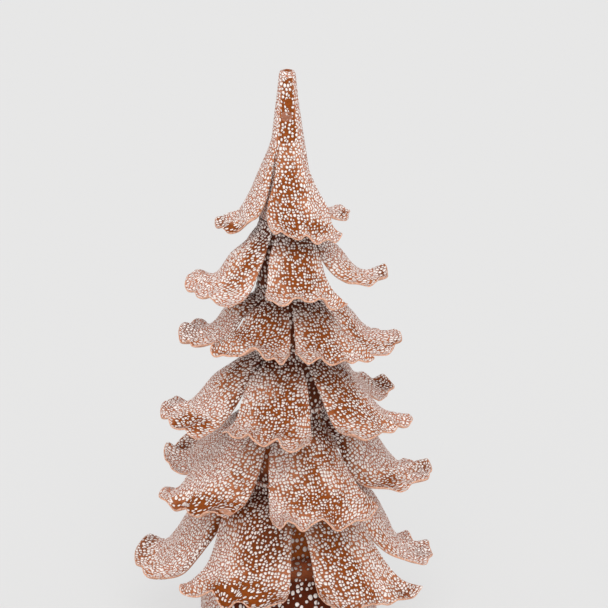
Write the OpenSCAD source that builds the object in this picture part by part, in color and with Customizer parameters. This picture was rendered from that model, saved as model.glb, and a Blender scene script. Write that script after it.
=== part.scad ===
// A ceramic christmas tree, built by hand in sections that stand one on the other.
// Each section is a hollow thrown core with a ring of slab leaves luted round it, and the
// leaves are pulled out into ruffled tips. The lowest core is luted to a bell foot.
// The front of the tree faces -Y and its right side +X, and the foot stands on Z = 0.

/* [Foot] */
// Height of the bell foot
foot_h = 83; // [65:1:105]
// Outer diameter of the foot where it stands
foot_d = 180; // [150:1:200]
// Height of the upright band at the bottom of the foot
foot_band_h = 26; // [12:1:34]
// Thickness of the foot
foot_wall = 7; // [5:0.5:9]

/* [Sections] */
// Height of the lowest core
tier_6_h = 79; // [66:1:100]
// Height of the second core from the bottom
tier_5_h = 78; // [66:1:100]
// Height of the third core from the bottom
tier_4_h = 65; // [56:1:90]
// Height of the fourth core from the bottom
tier_3_h = 58; // [50:1:80]
// Height of the core under the peak
tier_2_h = 69; // [56:1:90]
// Height of the peak, from its seat to its blunt end
peak_h = 150; // [120:1:180]
// Outer diameter at the bottom of the lowest core
core_base_d = 88; // [80:1:96]
// Outer diameter at the bottom of the peak
core_top_d = 56; // [50:1:64]
// Diameter of the blunt end of the peak
peak_end_d = 16; // [13:1:20]
// Thickness of the thrown cores
wall = 5; // [4:0.25:6]

/* [Seats] */
// How far each section shows past the one that stands on it
ledge_w = 1.2; // [0.6:0.1:2.5]
// Height of the neck that keeps the next section in place
neck_h = 10; // [6:0.5:14]
// Thickness of the neck
neck_t = 3.5; // [2.5:0.25:4.5]
// Gap all round each neck
neck_gap = 1; // [0.5:0.1:1.8]
// Bevel round the bottom edge of each section
rim_bevel = 1.2; // [0.6:0.1:2]

/* [Leaves] */
// Reach of the lowest leaves, from the middle of the tree to their tips
tier_6_reach = 152; // [135:1:165]
// Reach of the second ring of leaves from the bottom
tier_5_reach = 141; // [125:1:152]
// Reach of the third ring of leaves from the bottom
tier_4_reach = 128; // [112:1:138]
// Reach of the fourth ring of leaves from the bottom
tier_3_reach = 109; // [96:1:118]
// Reach of the ring of leaves under the peak
tier_2_reach = 96; // [84:1:104]
// Reach of the leaves of the peak
peak_reach = 70; // [62:1:78]
// Width of the lowest leaves
tier_6_leaf_w = 114; // [96:1:124]
// Width of the second ring of leaves from the bottom
tier_5_leaf_w = 104; // [88:1:114]
// Width of the third ring of leaves from the bottom
tier_4_leaf_w = 96; // [82:1:106]
// Width of the fourth ring of leaves from the bottom
tier_3_leaf_w = 84; // [72:1:92]
// Width of the leaves under the peak
tier_2_leaf_w = 76; // [64:1:84]
// Width of the leaves of the peak
peak_leaf_w = 60; // [50:1:68]
// Thickness of the slab that the leaves are cut from
leaf_t = 4; // [3:0.25:5]
// Thickness of a leaf where its root is pressed on
root_t = 1.5; // [1:0.1:2.5]
// Height of the band where a leaf's root lies against its core
root_band_h = 8; // [5:0.5:11]
// Drop from the top of a core to the roots of its leaves
root_drop = 2; // [1:0.25:4]
// Depth of the ruffles in the tips of the lowest leaves
ruffle = 6; // [3:0.25:7]
// Slip line between a leaf's root and its core
seat_gap = 0.3; // [0.2:0.05:0.5]
// Gap between one leaf and the next at their roots
side_gap = 2.5; // [2:0.1:4]

/* [Hidden] */
$fn = 96;

core_h = [tier_6_h, tier_5_h, tier_4_h, tier_3_h, tier_2_h, peak_h];
reach = [tier_6_reach, tier_5_reach, tier_4_reach, tier_3_reach, tier_2_reach, peak_reach];
leaf_w = [tier_6_leaf_w, tier_5_leaf_w, tier_4_leaf_w, tier_3_leaf_w, tier_2_leaf_w, peak_leaf_w];
tier_names = ["tier_6", "tier_5", "tier_4", "tier_3", "tier_2", "peak"];
tiers = len(core_h);
last = tiers - 1;

// Angle below the horizontal at which each ring of leaves leaves its core, and the
// angle at which the tips curl up again, from the bottom ring to the peak
lean = [20, 25, 36, 28, 38, 84];
curl = [35, 32, 30, 30, 30, 10];

// Lengths of the two handles of a leaf's curve in shares of how far it stands out
shoulder_share = [0.45, 0.42, 0.4, 0.42, 0.42, 1.07];
lip_share = [0.42, 0.4, 0.4, 0.4, 0.4, 0.5];

// Each leaf's place in its ring, its direction in degrees from the front towards the right,
// its shares of the ring's reach, of the core's height at the tip and of the ring's width, and
// where its ruffle starts in degrees. Then how far the hand drew it out of its plain curve, as
// shares of the ring's width to the tree's right and up: the left edge, the middle and the
// right edge, half way down the leaf, and then the same three at its end
leaf_shares = [
    [
        [
            "left", -86, 1, 0.02, 1, 150,
            [[-0.07, 0.07], [-0.05, 0.07], [0.01, 0.05]],
            [[0.17, 0], [-0.03, -0.09], [0.1, -0.05]]
        ],
        [
            "front_left", -23, 0.98, 0.03, 1.02, 300,
            [[-0.02, 0.02], [-0.01, 0], [-0.02, 0.01]],
            [[0.06, 0.05], [-0.04, -0.11], [-0.03, 0.03]]
        ],
        [
            "front_right", 35, 1.01, 0.01, 1, 200,
            [[0.06, 0.02], [0.03, 0], [0.02, 0.02]],
            [[0.02, 0.03], [-0.01, -0.16], [0.01, -0.05]]
        ],
        [
            "right", 88, 0.95, 0.09, 0.74, 20,
            [[-0.01, 0.01], [-0.01, 0.1], [0.01, 0.11]],
            [[0.01, -0.04], [-0.02, -0.08], [-0.24, -0.04]]
        ],
        ["back_right", 148, 0.76, -0.1, 0.8, 160],
        ["back_left", 206, 0.8, -0.06, 0.9, 200]
    ],
    [
        [
            "front_left", -52, 0.92, 0.03, 1, 40,
            [[-0.01, 0], [-0.01, 0.01], [0, 0.01]],
            [[0.08, 0.03], [-0.09, -0.13], [0.04, 0.04]]
        ],
        [
            "front", 15, 0.99, 0.06, 1, 60,
            [[0, 0.01], [0, 0.01], [0.03, 0.06]],
            [[0.03, 0.05], [-0.03, -0.13], [0.01, 0.05]]
        ],
        [
            "right", 84, 0.99, 0.11, 0.8, 230,
            [[-0.05, -0.02], [0.03, 0.03], [0.05, 0.04]],
            [[-0.16, -0.03], [0.04, -0.03], [-0.21, 0.01]]
        ],
        ["back_right", 145, 0.8, -0.05, 0.8, 120],
        ["back", 196, 0.85, 0, 0.8, 160],
        [
            "back_left", 252, 0.84, 0.1, 0.8, 150,
            [[-0.02, 0.03], [-0.01, -0.01], [0.04, 0.01]],
            [[0.02, 0.07], [-0.11, 0.01], [0.16, -0.05]]
        ]
    ],
    [
        [
            "left", -66, 0.95, 0.06, 1, 10,
            [[-0.03, 0.04], [-0.05, 0.03], [-0.03, 0.04]],
            [[0.2, 0.07], [-0.14, -0.06], [0, -0.05]]
        ],
        [
            "front", -9, 1, 0.07, 1, 270,
            [[-0.05, 0.03], [0, -0.02], [-0.02, 0.03]],
            [[0.03, 0.09], [-0.06, -0.08], [-0.09, -0.01]]
        ],
        [
            "front_right", 50, 0.98, 0.05, 1, 250,
            [[0.06, 0.03], [0.02, 0.03], [0.01, 0.05]],
            [[0.02, 0.07], [0.03, -0.11], [-0.01, -0.01]]
        ],
        [
            "right", 112, 0.79, 0.14, 0.75, 310,
            [[-0.01, 0.01], [0.01, 0.01], [0.06, 0.05]],
            [[-0.15, -0.09], [0.1, -0.08], [-0.03, -0.03]]
        ],
        ["back", 171, 0.85, 0.11, 0.9, 160],
        ["back_left", 230, 0.7, -0.1, 0.9, 200]
    ],
    [
        [
            "left", -76, 0.95, 0.26, 0.95, 170,
            [[0.01, 0.03], [-0.01, 0.04], [0, 0.08]],
            [[0.31, 0.06], [-0.07, -0.05], [0.03, -0.01]]
        ],
        [
            "front_left", -22, 0.98, 0.27, 1, 250,
            [[0.01, 0.04], [-0.01, 0.01], [0.01, 0.03]],
            [[0.01, 0.04], [-0.02, -0.01], [0.01, 0.05]]
        ],
        [
            "front_right", 29, 1, 0.24, 1, 280,
            [[-0.01, 0.05], [0, -0.01], [-0.02, 0]],
            [[-0.07, 0.11], [-0.08, -0.09], [-0.04, -0.06]]
        ],
        [
            "right", 80, 0.98, 0.14, 0.88, 340,
            [[0, 0.02], [0, 0.03], [-0.03, 0.06]],
            [[0.02, -0.04], [0.07, -0.01], [-0.32, -0.01]]
        ],
        ["back_right", 146, 0.7, 0.06, 0.9, 160],
        ["back_left", 212, 0.7, 0.1, 1, 200]
    ],
    [
        [
            "left", -66, 1, 0.17, 1.08, 120,
            [[0.01, 0.01], [-0.01, 0.02], [0.02, 0.07]],
            [[0.2, 0.12], [-0.1, -0.13], [0.11, -0.03]]
        ],
        [
            "front", 11, 0.98, 0.17, 0.97, 230,
            [[0, 0.08], [0, 0], [-0.01, 0.02]],
            [[0.02, 0.06], [0, -0.04], [0, -0.07]]
        ],
        [
            "right", 86, 1, 0.16, 0.8, 0,
            [[-0.06, -0.07], [-0.05, -0.03], [-0.04, 0]],
            [[-0.14, 0.01], [0.05, 0.01], [-0.22, -0.02]]
        ],
        ["back_right", 158, 0.8, 0.1, 0.9, 120],
        ["back_left", 228, 0.72, 0.05, 0.8, 160]
    ],
    [
        [
            "left", -88, 1, -0.02, 1, 330,
            [[-0.05, 0.05], [-0.02, 0.03], [0.05, 0.06]],
            [[0.21, 0.1], [0, -0.14], [0.3, 0.04]]
        ],
        [
            "front", 16, 0.97, 0, 1.15, 50,
            [[0, 0.15], [0, 0.01], [0.03, 0.03]],
            [[0.01, 0.22], [-0.04, -0.1], [0, -0.01]]
        ],
        [
            "right", 114, 0.84, -0.01, 0.7, 330,
            [[0, 0], [0, 0], [0, 0]],
            [[-0.01, -0.07], [0.03, 0.02], [0, -0.08]]
        ],
        ["back", 202, 0.8, -0.02, 1, 120]
    ]
];

// How much the sides of the peak are drawn in, where 1 is straight
peak_hollow_power = 1.15;
// Height on the peak at which its leaves start
peak_root_share = 0.69;
// How far down a leaf its root is thinned
thin_share = 0.4;
// Width of a leaf at its root, how much its end flares and how late
root_w_share = 0.8;
flare_share = 0.12;
flare_power = 5;
// How round the back of a leaf is at its end, and how far down it has opened to that
bend_share = 0.62;
open_share = 0.77;
// Room that a leaf takes of the sector between its neighbours, and how sharply that stops it
sector_share = 0.97;
stop_power = 8;
// How far the corners of a leaf's end are rounded off, and how near its sides that starts
corner_share = 0.08;
corner_power = 5;
// Where the ruffle starts along a leaf and how much of it the middle of the end has
ruffle_start_share = 0.55;
middle_share = 0.6;
// How far the end is flattened, and the half waves on either side of its middle
flatten_share = 0.7;
waves = 3;

// Cells across and along each leaf
across = 14;
along = 6;

// Steps round the shoulder of the foot, and up the side of the peak
foot_steps = 16;
peak_steps = 10;

function leaves(k) = len(leaf_shares[k]);
function core_name(k) = str(tier_names[k], "_core");
function leaf_name(k, i) = str(tier_names[k], "_", leaf_shares[k][i][0], "_leaf");

// Where each core stands, and its outer radius at the bottom and at the top
function total(list, n) = n <= 0 ? 0 : list[n - 1] + total(list, n - 1);
function seat_z(k) = foot_h + total(core_h, k);
function rim_r(k) = (core_base_d + (core_top_d - core_base_d) * k / last) / 2;
function top_r(k) = k < last ? rim_r(k + 1) + ledge_w : peak_end_d / 2;

// Outer radius of a core at a height above its seat
function core_r(k, h) =
    top_r(k) + (rim_r(k) - top_r(k)) * pow(1 - h / core_h[k], k < last ? 1 : peak_hollow_power);

// The socket in the bottom of a core, and the neck that stands in the one above
function socket_r(k) = rim_r(k) - wall;
function neck_r(k) = socket_r(k + 1) - neck_gap;
socket_h = neck_h + neck_gap;

function smooth(t) = let (s = min(1, max(0, t))) s * s * (3 - 2 * s);
function unit(d) = d / norm(d);

// A cubic curve through its first and last points, and the way that it runs
function curve_at(p, t) =
    pow(1 - t, 3) * p[0] + 3 * pow(1 - t, 2) * t * p[1] + 3 * (1 - t) * t * t * p[2] + pow(t, 3) * p[3];
function curve_way(p, t) =
    unit(pow(1 - t, 2) * (p[1] - p[0]) + 2 * (1 - t) * t * (p[2] - p[1]) + t * t * (p[3] - p[2]));

// Half of the angle from a leaf to its neighbour, on its left or on its right
function turn(k, i) = leaf_shares[k][(i + leaves(k)) % leaves(k)][1];
function half_gap(k, i, side) =
    side < 0 ? (turn(k, i) - turn(k, i - 1) + 360) % 360 / 2 : (turn(k, i + 1) - turn(k, i) + 360) % 360 / 2;

// The line down the middle of a leaf: the four points of its curve, and its root above them
function leaf_top(k) = k < last ? core_h[k] - root_drop : core_h[k] * peak_root_share;
function seat_at(k, i, h) =
    let (r = core_r(k, h) + seat_gap, half = leaf_w[k] * leaf_shares[k][i][4] * root_w_share / 2)
    [r / cos(half / r * 180 / PI / across), seat_z(k) + h];
function leaf_curve(k, i) =
    let (
        start = seat_at(k, i, leaf_top(k)),
        bend = seat_at(k, i, leaf_top(k) - root_band_h),
        tip = [reach[k] * leaf_shares[k][i][2], seat_z(k) + core_h[k] * leaf_shares[k][i][3]],
        shoulder = shoulder_share[k] * (tip[0] - bend[0]),
        lip = lip_share[k] * (tip[0] - bend[0])
    )
    [
        bend,
        bend + shoulder * [cos(lean[k]), -sin(lean[k])],
        tip - lip * [cos(curl[k]), sin(curl[k])],
        tip,
        start
    ];

// How far a leaf is drawn to the tree's right and up, at a place across and along it
function drawn_across(stops, u) =
    stops[1] + (stops[2] - stops[0]) * u / 2 + (stops[0] + stops[2] - 2 * stops[1]) * u * u / 2;
function drawn(k, i, u, v) =
    let (row = leaf_shares[k][i])
    len(row) < 8 ? [0, 0]
        : leaf_w[k] * (drawn_across(row[6], u) * 4 * v * (1 - v) + drawn_across(row[7], u) * v * (2 * v - 1));

// A point on the under side or the top side of a leaf that faces the front
function leaf_point(k, i, curve, j, u, side) =
    let (
        share = max(0, j - 1) / (along - 1),
        v = share * (1 - share * corner_share * pow(abs(u), corner_power)),
        down = unit(curve[0] - curve[4]),
        way = j == 0 ? down : j == 1 ? unit(curve_way(curve, 0) + down) : curve_way(curve, v),
        at = j == 0 ? curve[4] : curve_at(curve, v),
        thick = side * (root_t + (leaf_t - root_t) * smooth(v / thin_share)),
        root_r = curve[j == 0 ? 4 : 0][0],
        full = leaf_w[k] * leaf_shares[k][i][4] / 2,
        wish = full * (root_w_share + (1 - root_w_share) * v + flare_share * pow(v, flare_power)),
        room = at[0] * half_gap(k, i, u) * PI / 180 * sector_share - side_gap / 2,
        half_w = room * wish / pow(pow(room, stop_power) + pow(wish, stop_power), 1 / stop_power),
        back_r = root_r + (max(root_r, bend_share * leaf_w[k]) - root_r) * smooth(v / open_share),
        a = u * half_w / back_r * 180 / PI,
        end = smooth((v - ruffle_start_share) / (1 - ruffle_start_share)),
        wave = ruffle * leaf_w[k] / leaf_w[0] * end * (middle_share + (1 - middle_share) * abs(u))
            * sin(leaf_shares[k][i][5] + 180 * waves * u),
        flat = flatten_share * end * back_r * (1 - cos(a)),
        rise = (back_r + thick) * cos(a) - back_r + flat + wave,
        hand = drawn(k, i, u, v),
        turned = turn(k, i)
    )
    [
        (back_r + thick) * sin(a) + hand[0] * cos(turned),
        -(at[0] - rise * way[1]) - hand[0] * sin(turned),
        at[1] + rise * way[0] + hand[1]
    ];

// Foot: a bell with an upright band, hollow from below
module foot_bell() {
    outer = foot_d / 2;
    inner = outer - foot_wall;
    shoulder_r = rim_r(0) + ledge_w;
    bore_r = socket_r(0);
    dome_h = foot_h - foot_band_h;
    color("#8a4a26")
        rotate_extrude()
            polygon(concat(
                [[inner + rim_bevel, 0], [outer - rim_bevel, 0], [outer, rim_bevel]],
                [
                    for (s = [0:foot_steps])
                        let (a = 90 * s / foot_steps)
                        [shoulder_r + (outer - shoulder_r) * cos(a), foot_band_h + dome_h * sin(a)]
                ],
                [[bore_r, foot_h]],
                [
                    for (s = [0:foot_steps])
                        let (a = 90 - 90 * s / foot_steps)
                        [
                            bore_r + (inner - bore_r) * cos(a),
                            foot_band_h + (dome_h - foot_wall) * sin(a)
                        ]
                ],
                [[inner, rim_bevel]]
            ));
}

// Core: a tapered tube with a socket below and a ledge and a neck on top
module core(k) {
    r = rim_r(k);
    h = core_h[k];
    thin_h = h - wall - neck_t;
    color("#a3633c")
        translate([0, 0, seat_z(k)])
            rotate_extrude()
                polygon([
                    [socket_r(k), 0],
                    [r - rim_bevel, 0],
                    [r, rim_bevel],
                    [top_r(k), h],
                    [neck_r(k), h],
                    [neck_r(k), h + neck_h],
                    [neck_r(k) - neck_t, h + neck_h],
                    [neck_r(k) - neck_t, h],
                    [core_r(k, thin_h) - wall, thin_h],
                    [socket_r(k), socket_h]
                ]);
}

// Peak: a slender closed cone with a blunt, rounded end
module peak_core() {
    r = rim_r(last);
    end_r = peak_end_d / 2;
    round_r = end_r / 3;
    hollow_h = peak_h - 2 * wall;
    side_h = peak_h - round_r - rim_bevel;
    color("#a3633c")
        translate([0, 0, seat_z(last)])
            rotate_extrude()
                polygon(concat(
                    [[socket_r(last), 0], [r - rim_bevel, 0]],
                    [for (s = [0:peak_steps - 1]) let (h = rim_bevel + side_h * s / peak_steps) [core_r(last, h), h]],
                    [
                        for (a = [0:15:90])
                            [end_r - round_r + round_r * cos(a), peak_h - round_r + round_r * sin(a)]
                    ],
                    [[0, peak_h], [0, hollow_h]],
                    [
                        for (s = [peak_steps:-1:1])
                            let (h = socket_h + (hollow_h - wall - socket_h) * s / peak_steps)
                            [core_r(last, h) - wall, h]
                    ],
                    [[socket_r(last), socket_h]]
                ));
}

// Leaf: a slab bent over its core like a roof tile, curled up and ruffled at the tip
module leaf(k, i) {
    curve = leaf_curve(k, i);
    wide = across + 1;
    face = wide * (along + 1);
    points = [
        for (side = [0, 1])
            for (j = [0:along])
                for (m = [0:across])
                    leaf_point(k, i, curve, j, 2 * m / across - 1, side)
    ];
    skin = [
        for (j = [0:along - 1])
            for (m = [0:across - 1])
                let (a = j * wide + m, b = a + 1, c = a + wide + 1, d = a + wide)
                each [
                    [a, c, b], [a, d, c],
                    [face + a, face + b, face + c], [face + a, face + c, face + d]
                ]
    ];
    ends = [
        for (m = [0:across - 1])
            let (a = m, b = m + 1, c = along * wide + m, d = c + 1)
            each [
                [a, b, face + b], [a, face + b, face + a],
                [c, face + c, face + d], [c, face + d, d]
            ]
    ];
    sides = [
        for (j = [0:along - 1])
            let (a = j * wide, b = a + wide, c = a + across, d = c + wide)
            each [
                [a, face + a, face + b], [a, face + b, b],
                [c, d, face + d], [c, face + d, face + c]
            ]
    ];
    color("#c48f72")
        rotate(leaf_shares[k][i][1])
            polyhedron(points, concat(skin, ends, sides), convexity = 6);
}

foot_bell();
for (k = [0:last]) {
    union() {
        if (k < last) core(k);
        else peak_core();
    }
    for (i = [0:leaves(k) - 1])
        leaf(k, i);
}
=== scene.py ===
import math

import bpy
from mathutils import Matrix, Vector, noise


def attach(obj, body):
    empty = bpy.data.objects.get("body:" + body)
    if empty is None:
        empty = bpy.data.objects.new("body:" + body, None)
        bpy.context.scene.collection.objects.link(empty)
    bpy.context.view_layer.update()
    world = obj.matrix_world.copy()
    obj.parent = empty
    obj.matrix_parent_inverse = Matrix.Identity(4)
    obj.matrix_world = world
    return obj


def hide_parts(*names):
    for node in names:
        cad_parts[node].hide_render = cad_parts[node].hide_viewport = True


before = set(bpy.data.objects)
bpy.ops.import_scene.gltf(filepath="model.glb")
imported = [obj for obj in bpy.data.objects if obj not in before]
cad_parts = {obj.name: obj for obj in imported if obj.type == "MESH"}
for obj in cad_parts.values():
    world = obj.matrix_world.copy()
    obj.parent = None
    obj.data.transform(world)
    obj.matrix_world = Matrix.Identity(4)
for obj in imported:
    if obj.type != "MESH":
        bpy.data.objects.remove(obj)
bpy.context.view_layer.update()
bpy.ops.object.select_all(action="DESELECT")


# Table top, light and camera: a wide pale matt top under an even sky, with a broad soft lamp above
# the camera, a softer one low beside it and one behind. The camera looks down by 18 degrees.
def shade(red, green, blue):
    """A colour as a paint chart gives it, 0 to 255, in the light that Blender mixes."""
    return tuple((c / 255 / 12.92 if c <= 10 else ((c / 255 + 0.055) / 1.055) ** 2.4)
                 for c in (red, green, blue)) + (1,)


bpy.ops.mesh.primitive_plane_add(size=60)
table_top = bpy.context.object
table_top.name = "table_top"
matt = bpy.data.materials.new("pale_table")
matt.use_nodes = True
matt_nodes, matt_links = matt.node_tree.nodes, matt.node_tree.links
board = matt_nodes["Principled BSDF"]
board.inputs["Base Color"].default_value = shade(222, 221, 220)
board.inputs["Roughness"].default_value = 1
board.inputs["Specular IOR Level"].default_value = 0
glow = matt_nodes.new("ShaderNodeEmission")
glow.inputs["Color"].default_value = shade(226, 226, 226)
seen = matt_nodes.new("ShaderNodeLightPath")
share = matt_nodes.new("ShaderNodeMath")
share.operation = "MULTIPLY"
share.inputs[1].default_value = 0.8
either_top = matt_nodes.new("ShaderNodeMixShader")
matt_links.new(seen.outputs["Is Camera Ray"], share.inputs[0])
matt_links.new(share.outputs[0], either_top.inputs[0])
matt_links.new(board.outputs[0], either_top.inputs[1])
matt_links.new(glow.outputs[0], either_top.inputs[2])
matt_links.new(either_top.outputs[0], matt_nodes["Material Output"].inputs["Surface"])
table_top.data.materials.append(matt)

sky = bpy.data.worlds.new("even_sky")
sky.use_nodes = True
sky_nodes, sky_links = sky.node_tree.nodes, sky.node_tree.links
daylight = sky_nodes["Background"]
daylight.inputs["Color"].default_value = (1, 1, 1, 1)
daylight.inputs["Strength"].default_value = 0.8
backdrop = sky_nodes.new("ShaderNodeBackground")
backdrop.inputs["Color"].default_value = shade(230, 230, 230)
rays = sky_nodes.new("ShaderNodeLightPath")
either = sky_nodes.new("ShaderNodeMixShader")
sky_links.new(rays.outputs["Is Camera Ray"], either.inputs[0])
sky_links.new(daylight.outputs[0], either.inputs[1])
sky_links.new(backdrop.outputs[0], either.inputs[2])
sky_links.new(either.outputs[0], sky_nodes["World Output"].inputs["Surface"])
bpy.context.scene.world = sky

# each lamp's angle from the zenith and to the right, its energy and how wide it is
for name, from_zenith, to_right, energy, width in (
        ("broad_lamp", 42, 4, 1.18, 40),
        ("front_lamp", 68, -6, 0.9, 60),
        ("back_lamp", 52, 178, 0.62, 60)):
    bpy.ops.object.light_add(
        type="SUN", rotation=(math.radians(from_zenith), 0, math.radians(to_right)))
    lamp = bpy.context.object
    lamp.name = name
    lamp.data.energy = energy
    lamp.data.angle = math.radians(width)

look_at = Vector((0.0155, 0, 0.341))
view_down = math.radians(18)
view_distance = 4
view_width = 0.608
view_way = Vector((0, math.cos(view_down), -math.sin(view_down)))
bpy.ops.object.camera_add(
    location=look_at - view_distance * view_way, rotation=(math.pi / 2 - view_down, 0, 0))
camera = bpy.context.object
camera.name = "camera_front"
camera.data.sensor_width = 36
camera.data.lens = camera.data.sensor_width * view_distance / view_width
camera.data.clip_end = 100
bpy.context.scene.camera = camera
bpy.context.scene.view_settings.view_transform = "Standard"


# Foot: a bell thrown on the wheel in brown stoneware, hollow from below. A white glaze has crawled
# into large beads on it, and a band at its top was wiped bare before the lowest core went on.
line_clay = (184, 120, 94)  # seen in the thin lines through glaze that lay thick
dull_white, full_white = (234, 222, 216), (247, 241, 237)
edge_reach = 8  # millimetres from a bare edge at which the glaze is whole again


def crawled_glaze(name, flow, clay, film, deep_clay, bead, fill, stretch, big, bare):
    """Clay under a crawled glaze. clay is its colour between the beads, film where a thin milky
    skin of glaze stayed on it, deep_clay the painted shade of the recesses (on the foot
    the colour of the band at its top) and bare where it was wiped. bead is the spacing of the beads
    in metres, fill how much of its place a bead fills, stretch how long the beads are and big how
    much larger the large ones are. flow is the UV map that they follow. The mesh says how thick the
    glaze lay (cover), how big its beads are (grain), how much painted shade a point gets, and on
    the foot where its band lies (deep), and how many millimetres the next bare edge is away
    (edge)."""
    mat = bpy.data.materials.new(name)
    mat.use_nodes = True
    nodes, links = mat.node_tree.nodes, mat.node_tree.links
    surface = nodes["Principled BSDF"]

    def feed(socket, value):
        if isinstance(value, (int, float, tuple)):
            socket.default_value = value
        else:
            links.new(value, socket)

    def add(kind, **settings):
        node = nodes.new(kind)
        for key, value in settings.items():
            setattr(node, key, value)
        return node

    def calc(operation, first, second=0.0, third=0.0):
        node = add("ShaderNodeMath", operation=operation)
        for socket, value in zip(node.inputs, (first, second, third)):
            feed(socket, value)
        return node.outputs[0]

    def ramp(value, low, high, to_low=0.0, to_high=1.0):
        node = add("ShaderNodeMapRange", interpolation_type="SMOOTHSTEP")
        for socket, number in zip(node.inputs, (value, low, high, to_low, to_high)):
            feed(socket, number)
        return node.outputs[0]

    def blend(amount, first, second):
        node = add("ShaderNodeMix", data_type="RGBA")
        for index, value in ((0, amount), (6, first), (7, second)):
            feed(node.inputs[index], value)
        return node.outputs[2]

    def one_of(amount, first, second):
        node = add("ShaderNodeMix", data_type="FLOAT")
        for index, value in ((0, amount), (2, first), (3, second)):
            feed(node.inputs[index], value)
        return node.outputs[0]

    def cloud(where, scale, detail=0.0):
        node = add("ShaderNodeTexNoise")
        node.inputs["Scale"].default_value = scale
        node.inputs["Detail"].default_value = detail
        links.new(where, node.inputs["Vector"])
        return node

    def layer(key):
        return add("ShaderNodeAttribute", attribute_name=key).outputs["Fac"]

    body = add("ShaderNodeTexCoord").outputs["Object"]
    place = add("ShaderNodeUVMap", uv_map=flow).outputs[0]
    cover, grain, edge, deep = layer("cover"), layer("grain"), layer("edge"), layer("deep")

    # where the glaze lay thick its beads stand close, with patches left to chance
    patches = cloud(body, 42, 2.0).outputs["Fac"]
    laid = calc("MULTIPLY_ADD", calc("SUBTRACT", patches, 0.5), 0.9, cover)
    close = ramp(laid, 0.5, 0.62)

    # the beads, drawn out of true by a slow wander and a quick one
    def drawn(where, scale, far):
        shift = add("ShaderNodeVectorMath", operation="SCALE")
        middle = add("ShaderNodeVectorMath", operation="SUBTRACT")
        links.new(cloud(where, scale).outputs["Color"], middle.inputs[0])
        middle.inputs[1].default_value = (0.5, 0.5, 0.5)
        links.new(middle.outputs[0], shift.inputs[0])
        shift.inputs["Scale"].default_value = far
        moved = add("ShaderNodeVectorMath", operation="ADD")
        links.new(where, moved.inputs[0])
        links.new(shift.outputs[0], moved.inputs[1])
        return moved.outputs[0]

    wandered = drawn(drawn(place, 0.12 / bead, 1.5 * bead), 0.55 / bead, 0.4 * bead)

    def lattice(size, long, loose):
        fit = add("ShaderNodeMapping")
        fit.inputs["Scale"].default_value = (1 / size, 1 / size / long, 1)
        links.new(wandered, fit.inputs["Vector"])
        cells = add("ShaderNodeTexVoronoi", voronoi_dimensions="2D")
        walls = add("ShaderNodeTexVoronoi", voronoi_dimensions="2D", feature="DISTANCE_TO_EDGE")
        for node in (cells, walls):
            node.inputs["Scale"].default_value = 1
            node.inputs["Randomness"].default_value = loose
            links.new(fit.outputs[0], node.inputs["Vector"])
        lot = add("ShaderNodeSeparateColor")
        links.new(cells.outputs["Color"], lot.inputs[0])
        return lot.outputs[0], cells.outputs["Distance"], walls.outputs["Distance"]

    def beads(size, reach, vary, line, long, loose):
        lot, distance, to_wall = lattice(size, long, loose)
        least = calc("ADD", reach - vary, ramp(laid, 0.1, 0.6, 0, 0.14))
        radius = calc("MULTIPLY_ADD", lot, 2 * vary, least)
        from_rim, from_wall = calc("SUBTRACT", radius, distance), calc("SUBTRACT", to_wall, line)
        return calc("SMOOTH_MIN", from_rim, from_wall, 0.06)

    large = beads(bead * big, fill, 0.12, 0.08, 1.55, 0.9)
    coarse = beads(bead, fill + 0.02, 0.12, 0.085, stretch, 0.78)
    # where the glaze stayed nearly whole it is cut up by thin broken lines only
    to_line = lattice(bead * 0.9, 1.15, 0.95)[2]
    broken = calc("MULTIPLY_ADD", cloud(body, 330).outputs["Fac"], 0.36, -0.045)
    fine = calc("SUBTRACT", to_line, broken)
    thin = one_of(ramp(grain, 0.4, 0.6), coarse, large)
    raised = calc("SUBTRACT", one_of(close, thin, fine), ramp(cover, -0.5, -0.7))

    # bare clay at the rims and where a finger held the piece
    worn = cloud(body, 260).outputs["Fac"]
    glazed = ramp(calc("MULTIPLY_ADD", worn, 1.0, edge), 0.55, 0.95)
    bead_mask = calc("MULTIPLY", ramp(raised, -0.012, 0.05), glazed)

    speckle = cloud(body, 420, 3.0).outputs["Fac"]
    mottle = ramp(speckle, 0.3, 0.7)

    def tone(colour, darker=0.86):
        return blend(mottle, shade(*[c * darker for c in colour]), shade(*colour))

    ground = blend(ramp(laid, 0.1, 0.5), tone(clay), tone(film))
    ground = blend(close, ground, tone(line_clay))
    # painted shade: where the deep layer is high the ground takes the dark shade colour, on the
    # foot the band's own colour instead
    ground = blend(deep, ground, tone(deep_clay))
    # painted shadow: the clay right beside each bead is darkened, most where the glaze lay thin
    bead_shadow = calc("MULTIPLY", ramp(raised, -0.14, -0.01), ramp(laid, 0.0, 0.6, 0.62, 0.15))
    ground = blend(bead_shadow, ground, shade(*[c * 0.55 for c in clay]))
    # where the deep layer is high, bare clay takes the clay's colour instead: painted shade in the
    # recesses, and the darker tan of the one bare patch
    wiped = blend(deep, tone(bare, 0.84), tone(clay))
    under = blend(glazed, wiped, ground)
    white = blend(mottle, shade(*dull_white), shade(*full_white))
    links.new(blend(bead_mask, under, white), surface.inputs["Base Color"])
    links.new(ramp(bead_mask, 0, 1, 0.7, 0.36), surface.inputs["Roughness"])
    links.new(ramp(bead_mask, 0, 1, 0.06, 0.5), surface.inputs["Specular IOR Level"])

    grit = calc("MULTIPLY", speckle, 0.08)
    height = calc("MULTIPLY_ADD", ramp(raised, -0.02, 0.26), glazed, grit)
    relief = add("ShaderNodeBump")
    relief.inputs["Strength"].default_value = 0.9
    relief.inputs["Distance"].default_value = 0.24 * bead
    links.new(height, relief.inputs["Height"])
    links.new(relief.outputs[0], surface.inputs["Normal"])
    return mat


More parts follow.
